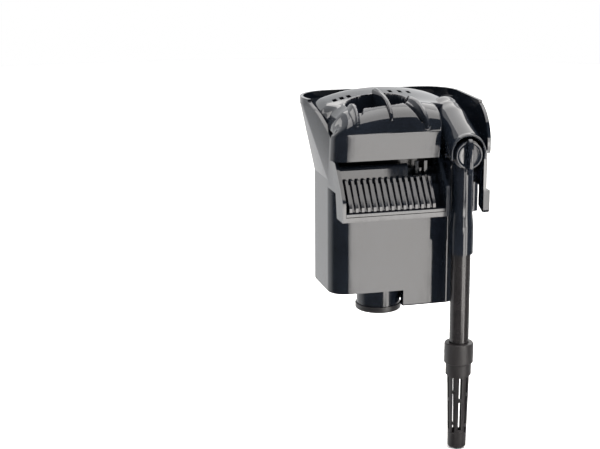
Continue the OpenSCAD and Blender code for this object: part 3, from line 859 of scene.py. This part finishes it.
class FILTER_OT_pump(bpy.types.Operator):
    """Pump case, cap, impeller cover and impeller"""

    bl_idname = "filter.pump"
    bl_label = "Pump"

    def execute(self, context):
        size = context.scene.filter_sizes
        moulded("motor_case", "pump", finish("pump_gloss"), "pump_black", size.fine_edge)
        for node in ("motor_cap", "impeller_cover"):
            moulded(node, "pump", finish("pump_black"), "pump_black", size.fine_edge)
        moulded("impeller", "rotor", finish("impeller_white"), "impeller_white", size.fine_edge * 0.6, 1)
        return {"FINISHED"}


class FILTER_OT_basket(bpy.types.Operator):
    """Lift-out media basket"""

    bl_idname = "filter.basket"
    bl_label = "Basket"

    def execute(self, context):
        size = context.scene.filter_sizes
        moulded("media_basket", "basket", finish("smoke_black"), "smoke_black", size.fine_edge)
        return {"FINISHED"}


def soft_block(name, node, shrink, corner):
    """A block inside a CAD soft solid, with its upright corners and its rims rounded."""
    low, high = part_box(node)
    deselect()
    bpy.ops.mesh.primitive_cube_add(size=1, location=(low + high) / 2)
    obj = bpy.context.object
    obj.name = name
    obj.scale = [side - 2 * shrink for side in high - low]
    settle(obj)
    edit(obj)
    bpy.ops.mesh.select_all(action="DESELECT")
    done()
    for e in obj.data.edges:
        a, b = (obj.data.vertices[i].co for i in e.vertices)
        e.select = abs(a.z - b.z) > 1e-4
    bpy.ops.object.mode_set(mode="EDIT")
    bpy.ops.mesh.select_mode(type="EDGE")
    bpy.ops.mesh.bevel(offset=corner, segments=6, affect="EDGES")
    done()
    return obj


def remesh(obj, size):
    """Cuts a closed form anew into even faces of a size."""
    pick(obj)
    m = obj.modifiers.new("cells", "REMESH")
    m.mode = "VOXEL"
    m.voxel_size = size
    bpy.ops.object.modifier_apply(modifier=m.name)


class FILTER_OT_sponge(bpy.types.Operator):
    """Foam block in the bottom of the basket"""

    bl_idname = "filter.sponge"
    bl_label = "Sponge"

    def execute(self, context):
        size = context.scene.filter_sizes
        obj = soft_block("sponge_foam", "sponge_block", 0.5 * MM, 9 * MM)
        remesh(obj, size.foam_cell)
        pick(obj)
        soft = obj.modifiers.new("soft", "SMOOTH")
        soft.iterations = 4
        bpy.ops.object.modifier_apply(modifier=soft.name)
        cloud = bpy.data.textures.new("foam lumps", "CLOUDS")
        cloud.noise_scale = 3.5 * MM
        lump = obj.modifiers.new("lumps", "DISPLACE")
        lump.texture = cloud
        lump.strength = 0.9 * MM
        lump.mid_level = 0.62
        bpy.ops.object.modifier_apply(modifier=lump.name)
        bpy.ops.object.shade_smooth()
        finish_piece(obj, "basket", finish("sponge"), "sponge", "sponge_block")
        return {"FINISHED"}


class FILTER_OT_carbon_bag(bpy.types.Operator):
    """Fleece bag of carbon, swollen by a short cloth run"""

    bl_idname = "filter.carbon_bag"
    bl_label = "Carbon bag"

    def execute(self, context):
        size = context.scene.filter_sizes
        obj = soft_block("carbon_bag", "carbon_insert", 2.4 * MM, 7 * MM)
        remesh(obj, 2.4 * MM)
        swell(obj, size.bag_puff)
        clamp_into(obj, "carbon_insert", 0.3 * MM)
        pick(obj)
        sub = obj.modifiers.new("fine", "SUBSURF")
        sub.levels = sub.render_levels = 1
        bpy.ops.object.modifier_apply(modifier=sub.name)
        bpy.ops.object.shade_smooth()
        finish_piece(obj, "basket", finish("carbon_fleece"), "carbon_fleece", "carbon_insert")
        return {"FINISHED"}


def swell(obj, cap):
    """Swells a closed form with a short cloth run, no point moving farther than cap."""
    rest = [v.co.copy() for v in obj.data.vertices]
    pick(obj)
    cloth = obj.modifiers.new("swell", "CLOTH")
    cloth.settings.use_pressure = True
    cloth.settings.uniform_pressure_force = 4.0
    cloth.settings.effector_weights.gravity = 0.0
    last = 16
    cloth.point_cache.frame_start, cloth.point_cache.frame_end = 1, last
    for f in range(1, last + 1):
        bpy.context.scene.frame_set(f)
    bpy.ops.object.modifier_apply(modifier=cloth.name)
    bpy.context.scene.frame_set(1)
    for v, home in zip(obj.data.vertices, rest):
        move = v.co - home
        if move.length > cap:
            v.co = home + move.normalized() * cap


def clamp_into(obj, node, gap):
    """Holds every point inside the box of a CAD node, with a gap."""
    low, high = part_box(node)
    for v in obj.data.vertices:
        for i in range(3):
            v.co[i] = min(max(v.co[i], low[i] + gap), high[i] - gap)


class FILTER_OT_inner(bpy.types.Operator):
    """Finishes on the CAD parts that are shown as they are"""

    bl_idname = "filter.inner"
    bl_label = "Inner parts"

    def execute(self, context):
        shown = {
            "valve_spindle": "smoke_black", "spindle_seal": "rubber", "suction_duct": "smoke_black",
            "duct_seal": "rubber", "upper_bushing": "rubber", "motor_seal": "rubber", "cord_gland": "rubber",
            "stator_core": "core_steel", "coil_bobbin": "bobbin", "stator_winding": "copper_wire",
            "rotor_shaft": "shaft_steel", "lower_bushing": "rubber", "rotor_magnet": "magnet",
        }
        for node, name in shown.items():
            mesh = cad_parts[node].data
            mesh.materials.clear()
            mesh.materials.append(finish(name))
        return {"FINISHED"}


# ---------- studio ----------


def softbox(name, place_at, look_at, width, height, radiance, tint=(1.0, 0.965, 0.93), glossy=True):
    """A rectangular light of a given radiance, which the camera doesn't see."""
    data = bpy.data.lights.new(name, "AREA")
    data.shape = "RECTANGLE"
    data.size, data.size_y = width, height
    data.energy = radiance * math.pi * width * height
    data.color = tint
    obj = bpy.data.objects.new(name, data)
    bpy.context.scene.collection.objects.link(obj)
    obj.location = place_at
    obj.rotation_euler = (Vector(look_at) - Vector(place_at)).to_track_quat("-Z", "Y").to_euler()
    obj.visible_camera = False
    obj.visible_glossy = glossy


class FILTER_OT_studio(bpy.types.Operator):
    """Pale floor, soft lights and the camera"""

    bl_idname = "filter.studio"
    bl_label = "Studio"

    def execute(self, context):
        self.floor()
        self.room(context.scene)
        self.lights(context.scene.filter_studio)
        self.camera(context.scene)
        context.scene.view_settings.view_transform = "Standard"
        return {"FINISHED"}

    def floor(self):
        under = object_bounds()[0].z - 0.5 * MM
        deselect()
        bpy.ops.mesh.primitive_circle_add(vertices=96, radius=1.8, fill_type="NGON", location=(0, 0, under))
        floor = bpy.context.object
        floor.name = "floor"
        settle(floor)
        mat, _, shader = blank("pale floor")
        shader.inputs["Base Color"].default_value = (0.93, 0.93, 0.93, 1)
        shader.inputs["Roughness"].default_value = 0.9
        shader.inputs["Specular IOR Level"].default_value = 0.1
        floor.data.materials.append(mat)
        floor.visible_glossy = False
        floor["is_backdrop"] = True

    def room(self, scene):
        """The room behind the object is bright, the room in front of it is dim, and its backdrop is white."""
        world = bpy.data.worlds.new("studio room")
        scene.world = world
        world.use_nodes = True
        tree = world.node_tree
        back = tree.nodes["Background"]
        where = tree.nodes.new("ShaderNodeTexCoord")
        axes = tree.nodes.new("ShaderNodeSeparateXYZ")
        tree.links.new(where.outputs["Generated"], axes.inputs[0])
        side = maths(tree, "ADD", axes.outputs["Y"], maths(tree, "MULTIPLY", axes.outputs["Z"], 0.25))
        glow = spread(tree, side, -0.1, 0.35, 0.10, 1.25)
        path = tree.nodes.new("ShaderNodeLightPath")
        seen = tree.nodes.new("ShaderNodeMix")
        feed(tree, seen.inputs["Factor"], path.outputs["Is Camera Ray"])
        feed(tree, seen.inputs["A"], glow)
        feed(tree, seen.inputs["B"], 1.0)
        tree.links.new(seen.outputs["Result"], back.inputs["Strength"])
        back.inputs["Color"].default_value = (1, 1, 1, 1)

    def lights(self, studio):
        card, near = studio.card, -0.25
        # small cards close in front, each of them reflected by another part of the front
        for name, x, z, width, height, share in (
            ("front card", 0.0775, -0.1225, 0.0735, 0.086, 1.0),
            ("upper card", 0.125, -0.02, 0.05, 0.06, 0.8),
            ("lip card", 0.055, -0.068, 0.10, 0.018, 1.35),
            ("weir card", 0.043, -0.039, 0.050, 0.030, 0.8),
        ):
            softbox(name, (x, near, z), (x, 0.0, z), width, height, card * share)
        softbox("top box", (0.25, -0.16, 0.85), (0.25, -0.159, 0.0), 1.0, 0.88, 4.6)
        softbox("top rear box", (0.3, 0.9, 0.85), (0.3, 0.901, 0.0), 1.1, 1.2, 2.7)
        softbox("right card", (0.215, -0.32, -0.09), (0.035, 0.0, -0.05), 0.10, 0.34, 7.0)
        softbox("overhead", (0.0, 0.0, 1.8), (0.0, 0.0, 0.0), 2.6, 2.6, 2.2, (1, 1, 1), glossy=False)
        softbox("back left", (-0.9, 0.9, 0.5), (0.0, 0.0, 0.0), 0.5, 0.7, 2.4)
        softbox("back right", (1.0, 0.8, 0.6), (0.0, 0.0, 0.0), 0.4, 0.6, 2.4)

    def camera(self, scene):
        studio = scene.filter_studio
        a, t = studio.azimuth, studio.tilt
        ahead = Vector((math.sin(a) * math.cos(t), math.cos(a) * math.cos(t), -math.sin(t)))
        right = Vector((math.cos(a), -math.sin(a), 0.0))
        up = right.cross(ahead)
        data = bpy.data.cameras.new("studio camera")
        data.sensor_width = 36.0
        data.lens = studio.lens
        data.shift_x, data.shift_y = studio.shift
        cam = bpy.data.objects.new("studio camera", data)
        scene.collection.objects.link(cam)
        to_left, down = studio.offset
        stand = -ahead * studio.distance - right * to_left - up * down
        turn = Matrix((right, up, -ahead)).transposed() @ Matrix.Rotation(studio.roll, 3, "Z")
        cam.matrix_world = Matrix.Translation(stand) @ turn.to_4x4()
        scene.camera = cam


STEPS = (
    FILTER_OT_shell, FILTER_OT_lid, FILTER_OT_intake, FILTER_OT_pump, FILTER_OT_basket, FILTER_OT_sponge,
    FILTER_OT_carbon_bag, FILTER_OT_inner, FILTER_OT_studio,
)


class FILTER_PT_looks(bpy.types.Panel):
    """Sizes, finishes and the steps that build the looks"""

    bl_idname = "FILTER_PT_looks"
    bl_label = "Filter looks"
    bl_space_type = "VIEW_3D"
    bl_region_type = "UI"
    bl_category = "Filter"

    def draw(self, context):
        for group_name in ("filter_sizes", "filter_finish", "filter_studio"):
            settings = getattr(context.scene, group_name)
            box = self.layout.box()
            for name in settings.__annotations__:
                box.prop(settings, name)
        for step in STEPS:
            self.layout.operator(step.bl_idname)


CLASSES = (FilterSizes, FilterFinish, FilterStudio, *STEPS, FILTER_PT_looks)


def register():
    for cls in CLASSES:
        bpy.utils.register_class(cls)
    bpy.types.Scene.filter_sizes = bpy.props.PointerProperty(type=FilterSizes)
    bpy.types.Scene.filter_finish = bpy.props.PointerProperty(type=FilterFinish)
    bpy.types.Scene.filter_studio = bpy.props.PointerProperty(type=FilterStudio)


def unregister():
    for name in ("filter_sizes", "filter_finish", "filter_studio"):
        delattr(bpy.types.Scene, name)
    for cls in reversed(CLASSES):
        bpy.utils.unregister_class(cls)


def main():
    register()
    bpy.ops.filter.shell()
    bpy.ops.filter.lid()
    bpy.ops.filter.intake()
    bpy.ops.filter.pump()
    bpy.ops.filter.basket()
    bpy.ops.filter.sponge()
    bpy.ops.filter.carbon_bag()
    bpy.ops.filter.inner()
    bpy.ops.filter.studio()
    deselect()


if __name__ == "__main__":
    main()
